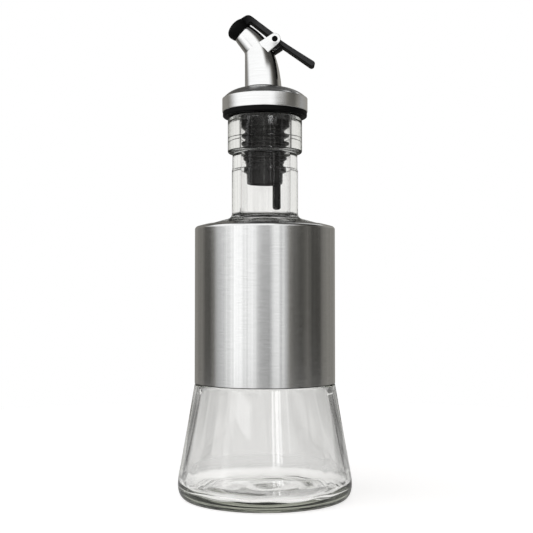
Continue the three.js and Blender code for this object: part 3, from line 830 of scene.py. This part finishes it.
distance.operation = "LENGTH"
links.new(place.outputs["Object"], distance.inputs[0])


def by_distance(reach, first, last):
    """A value that passes from first to last between two distances from the middle of the floor."""
    step = nodes.new("ShaderNodeMapRange")
    step.interpolation_type = "SMOOTHSTEP"
    step.inputs["From Min"].default_value = reach[0] * MM
    step.inputs["From Max"].default_value = reach[1] * MM
    step.inputs["To Min"].default_value = first
    step.inputs["To Max"].default_value = last
    links.new(distance.outputs["Value"], step.inputs["Value"])
    return step.outputs["Result"]


# Seen through glass the floor glows more near the bottle: a painted pool of light over the shade there.
through_glass = by_distance(GLASS_REACH, *GLASS_GLOW)
level = worked_out("MULTIPLY", path.outputs["Is Transmission Ray"], through_glass)
level = worked_out("MULTIPLY_ADD", path.outputs["Is Glossy Ray"], STEEL_GLOW, level)
level = worked_out("MULTIPLY_ADD", path.outputs["Is Camera Ray"], EYE_GLOW, level)
links.new(level, glow.inputs["Strength"])
both = nodes.new("ShaderNodeAddShader")
links.new(matt.outputs["BSDF"], both.inputs[0])
links.new(glow.outputs["Emission"], both.inputs[1])
beyond = nodes.new("ShaderNodeBsdfTransparent")
faded = nodes.new("ShaderNodeMixShader")
far = worked_out("MULTIPLY", path.outputs["Is Transmission Ray"], by_distance(FADE, 0, 1))
links.new(far, faded.inputs["Fac"])
links.new(both.outputs["Shader"], faded.inputs[1])
links.new(beyond.outputs["BSDF"], faded.inputs[2])
links.new(faded.outputs["Shader"], nodes["Material Output"].inputs["Surface"])
floor.data.materials.append(pale_floor)

# Studio: lights and flags by the compass, as pairs of an angle and a brightness, in rings one above the
# other. Angles are degrees from the camera's side, negative to the left. Steel mirrors the low to the top
# rings. Clear glass mirrors only a few strips, as behind a polariser, and shows a pale backdrop.
LOW_LIGHTS = [
    (-180, 0.29),
    (-150, 0.29),
    (-122, 0.22),
    (-114, 0.12),
    (-100, 0.1),
    (-91, 0.22),
    (-83, 0.6),
    (-76, 0.72),
    (-66, 1.02),
    (-59, 1.15),
    (-54, 1.55),
    (-37, 1.55),
    (-29, 1.36),
    (-18, 1.4),
    (-13, 0.95),
    (-7, 0.68),
    (1, 0.52),
    (7, 0.54),
    (12, 0.9),
    (15, 1.2),
    (20, 1.3),
    (25, 0.88),
    (29, 1.08),
    (35, 0.65),
    (40, 0.28),
    (46, 0.14),
    (62, 0.085),
    (73, 0.19),
    (82, 0.085),
    (99, 0.08),
    (108, 0.22),
    (120, 0.29),
]
CAP_LIGHTS = [
    (-180, 0.3),
    (-125, 0.36),
    (-112, 0.28),
    (-104, 0.42),
    (-96, 0.64),
    (-85, 1.22),
    (-75, 1.52),
    (16, 1.5),
    (24, 1.2),
    (31, 0.58),
    (39, 0.28),
    (48, 0.21),
    (86, 0.21),
    (97, 0.42),
    (115, 0.48),
    (150, 0.4),
]
HIGH_LIGHTS = [
    (-180, 0.15),
    (-150, 0.27),
    (-118, 0.3),
    (-104, 0.95),
    (-94, 1.45),
    (36, 1.5),
    (42, 1.36),
    (48, 1.1),
    (54, 0.77),
    (61, 0.42),
    (68, 0.15),
    (82, 0.06),
    (98, 0.02),
    (110, 0.2),
    (120, 0.4),
    (150, 0.4),
    (172, 0.15),
]
TOP_LIGHTS = [(-180, 0.1), (-120, 0.15), (-104, 1.5), (16, 1.5), (36, 0.2), (58, 0.08)]
TOP_LIGHTS += [(112, 0.08), (128, 0.95), (158, 0.95), (172, 0.1)]
NECK_LIGHTS = [(-180, 0.1), (-61, 0.1), (-58, 1.2), (-53, 1.2), (-50, 0.1)]
NECK_LIGHTS += [(51, 0.1), (54, 1), (57, 0.1)]
FLARE_STRIPS = [
    (10, 0.1),
    (11, 6),
    (13, 6),
    (14, 1.5),
    (16, 1.5),
    (17, 7),
    (20, 7),
    (21, 2),
    (22, 5),
    (24, 5),
    (25, 0.1),
    (34, 0.1),
    (35, 3),
    (36, 0.1),
]
FLARE_LIGHTS = [(-180, 0.06), (-57, 0.06), (-54, 1.5), (-48, 1.5), (-45, 0.06)] + FLARE_STRIPS
FOOT_LIGHTS = [(-180, 0.06), (10, 0.06), (11, 6), (12, 6), (13, 0.06)]
FOOT_LIGHTS += [(17, 0.06), (18, 7), (20, 7), (21, 0.06)]
WINDOW_LIGHTS = [(-180, 0.06), (-57, 0.06), (-54, 1.5), (-46, 1.5), (-42, 2.6), (-24, 2.6), (-18, 0.06)]
WINDOW_LIGHTS += FLARE_STRIPS
RIM_CARDS = [(100, 0.1), (120, 0.1), (136, 0.34), (142, 0.12)]
RIM_CARDS += [(148, 0.46), (153, 0.16), (159, 0.6), (168, 0.8)]
BACKDROP_LOW = [(-180, 0.84)] + [(-angle, level) for angle, level in reversed(RIM_CARDS)]
BACKDROP_LOW += [(-90, 0.5), (90, 0.5)] + RIM_CARDS
BACKDROP_FRONT = [(-58, 0.06), (-54, 1), (-50, 0.1), (-36, 0.3), (-9, 0.5), (-6, 1.6), (-3, 0.5)]
BACKDROP_FRONT += [(20, 0.3), (24, 1.4), (28, 0.2), (37, 0.2), (40, 1.6), (44, 0.1), (60, 0.06)]
BACKDROP_HIGH = [(-180, 1.12), (-168, 1.04), (-124, 1), (-114, 0.06), (-70, 0.06)] + BACKDROP_FRONT
BACKDROP_HIGH += [(114, 0.06), (124, 1), (168, 1.04)]
SHADE = 0.03
LEDGE_LIGHT = 0.6
CEILING = 0.14
WARM = (1, 0.965, 0.89)
COOL = (0.99, 0.995, 1)
DIM = 0.45
world = bpy.data.worlds.new("studio")
bpy.context.scene.world = world
world.use_nodes = True
nodes, links = world.node_tree.nodes, world.node_tree.links
direction = nodes.new("ShaderNodeTexCoord")
axes = nodes.new("ShaderNodeSeparateXYZ")
links.new(direction.outputs["Generated"], axes.inputs["Vector"])
forward = worked_out("MULTIPLY", axes.outputs["Y"], -1)
compass = worked_out("ARCTAN2", axes.outputs["X"], forward)
around = nodes.new("ShaderNodeMapRange")
around.inputs["From Min"].default_value = -math.pi
around.inputs["From Max"].default_value = math.pi
links.new(compass, around.inputs["Value"])


def lights_round(lights, tint=None):
    """A ring of lights by compass angle, with the brightness of each: dim ones warm, bright ones cool."""
    ramp = nodes.new("ShaderNodeValToRGB")
    elements = ramp.color_ramp.elements
    elements.remove(elements[-1])
    for index, (angle, level) in enumerate(lights):
        place = (angle + 180) / 360
        stop = elements[0] if index == 0 else elements.new(place)
        stop.position = place
        tone = tint or (WARM if level < DIM else COOL)
        stop.color = (*[level * part for part in tone], 1)
    links.new(around.outputs["Result"], ramp.inputs["Fac"])
    return ramp.outputs["Color"]


def mixed_by_height(low, high, start, end):
    """Passes from one sky to another between two heights, as the sine of the angle above the horizon."""
    share = nodes.new("ShaderNodeMapRange")
    share.interpolation_type = "SMOOTHSTEP"
    share.inputs["From Min"].default_value = start
    share.inputs["From Max"].default_value = end
    links.new(axes.outputs["Z"], share.inputs["Value"])
    mix = nodes.new("ShaderNodeMix")
    mix.data_type = "RGBA"
    links.new(share.outputs["Result"], mix.inputs["Factor"])
    links.new(low, mix.inputs["A"])
    links.new(high, mix.inputs["B"])
    return mix.outputs["Result"]


def even(level):
    """A sky of one grey all over."""
    grey = nodes.new("ShaderNodeRGB")
    grey.outputs["Color"].default_value = (level, level, level, 1)
    return grey.outputs["Color"]


def streaked(sky, stretch, depth):
    """A sky with uneven streaks of light and shade, stretched along X, Y and Z."""
    scaled = nodes.new("ShaderNodeVectorMath")
    scaled.operation = "MULTIPLY"
    scaled.inputs[1].default_value = stretch
    links.new(direction.outputs["Generated"], scaled.inputs[0])
    clutter = nodes.new("ShaderNodeTexNoise")
    clutter.inputs["Scale"].default_value = 1
    links.new(scaled.outputs["Vector"], clutter.inputs["Vector"])
    level = nodes.new("ShaderNodeMapRange")
    level.inputs["From Min"].default_value = 0.25
    level.inputs["From Max"].default_value = 0.75
    level.inputs["To Min"].default_value = 1 - depth
    level.inputs["To Max"].default_value = 1 + depth
    links.new(clutter.outputs["Fac"], level.inputs["Value"])
    shaded = nodes.new("ShaderNodeVectorMath")
    shaded.operation = "SCALE"
    links.new(sky, shaded.inputs[0])
    links.new(level.outputs["Result"], shaded.inputs["Scale"])
    return shaded.outputs["Vector"]


sleeve_lights = streaked(lights_round(LOW_LIGHTS), (22, 22, 1), 0.28)
sky = mixed_by_height(sleeve_lights, lights_round(CAP_LIGHTS), 0.11, 0.14)
sky = mixed_by_height(sky, lights_round(HIGH_LIGHTS), 0.2015, 0.2055)
sky = mixed_by_height(sky, lights_round(TOP_LIGHTS), 0.5, 0.58)
sky = mixed_by_height(sky, even(CEILING), 0.82, 0.9)
backdrop = lights_round(BACKDROP_LOW, CREAM)
backdrop = mixed_by_height(backdrop, lights_round(BACKDROP_HIGH, CREAM), 0.06, 0.075)
backdrop = streaked(backdrop, (14, 14, 5), 0.14)
backdrop = mixed_by_height(backdrop, even(SHADE), 0.188, 0.205)
backdrop = mixed_by_height(backdrop, even(LEDGE_LIGHT), 0.42, 0.5)
strips = mixed_by_height(lights_round(FOOT_LIGHTS), lights_round(NECK_LIGHTS), 0.07, 0.077)
strips = mixed_by_height(strips, lights_round(FLARE_LIGHTS), 0.166, 0.174)
strips = mixed_by_height(strips, lights_round(WINDOW_LIGHTS), 0.19, 0.196)
strips = mixed_by_height(strips, lights_round(FLARE_LIGHTS), 0.222, 0.232)
strips = mixed_by_height(strips, even(SHADE), 0.3, 0.4)
path = nodes.new("ShaderNodeLightPath")


def mixed_by_ray(most, some, kind):
    """One sky for most rays, and another for rays of one kind."""
    mix = nodes.new("ShaderNodeMix")
    mix.data_type = "RGBA"
    links.new(path.outputs[kind], mix.inputs["Factor"])
    links.new(most, mix.inputs["A"])
    links.new(some, mix.inputs["B"])
    return mix.outputs["Result"]


sky = mixed_by_ray(sky, strips, "Is Singular Ray")
sky = mixed_by_ray(sky, backdrop, "Is Transmission Ray")
studio = nodes["Background"]
links.new(sky, studio.inputs["Color"])
white = nodes.new("ShaderNodeBackground")
white.inputs["Color"].default_value = (1, 1, 1, 1)
view = nodes.new("ShaderNodeMixShader")
links.new(path.outputs["Is Camera Ray"], view.inputs["Fac"])
links.new(studio.outputs["Background"], view.inputs[1])
links.new(white.outputs["Background"], view.inputs[2])
links.new(view.outputs["Shader"], nodes["World Output"].inputs["Surface"])

# Camera: at about half the bottle's height, level with the sleeve and tipped up a little. Light may bend
# through many walls of glass before it is lost.
LENS = 67.54
SENSOR = 36
STANDPOINT = Vector((0.73, -458, 92.1))
TIP_UP = 1.547
WALL_CROSSINGS = 32
MIRRORINGS = 16
camera_data = bpy.data.cameras.new("camera")
camera_data.lens = LENS
camera_data.sensor_width = SENSOR
camera_data.clip_start = 10 * MM
camera = bpy.data.objects.new("camera", camera_data)
camera.location = STANDPOINT * MM
camera.rotation_euler = (math.radians(90 + TIP_UP), 0, 0)
scene = bpy.context.scene
scene.collection.objects.link(camera)
scene.camera = camera
scene.view_settings.view_transform = "Standard"
scene.cycles.max_bounces = WALL_CROSSINGS
scene.cycles.transmission_bounces = WALL_CROSSINGS
scene.cycles.glossy_bounces = MIRRORINGS
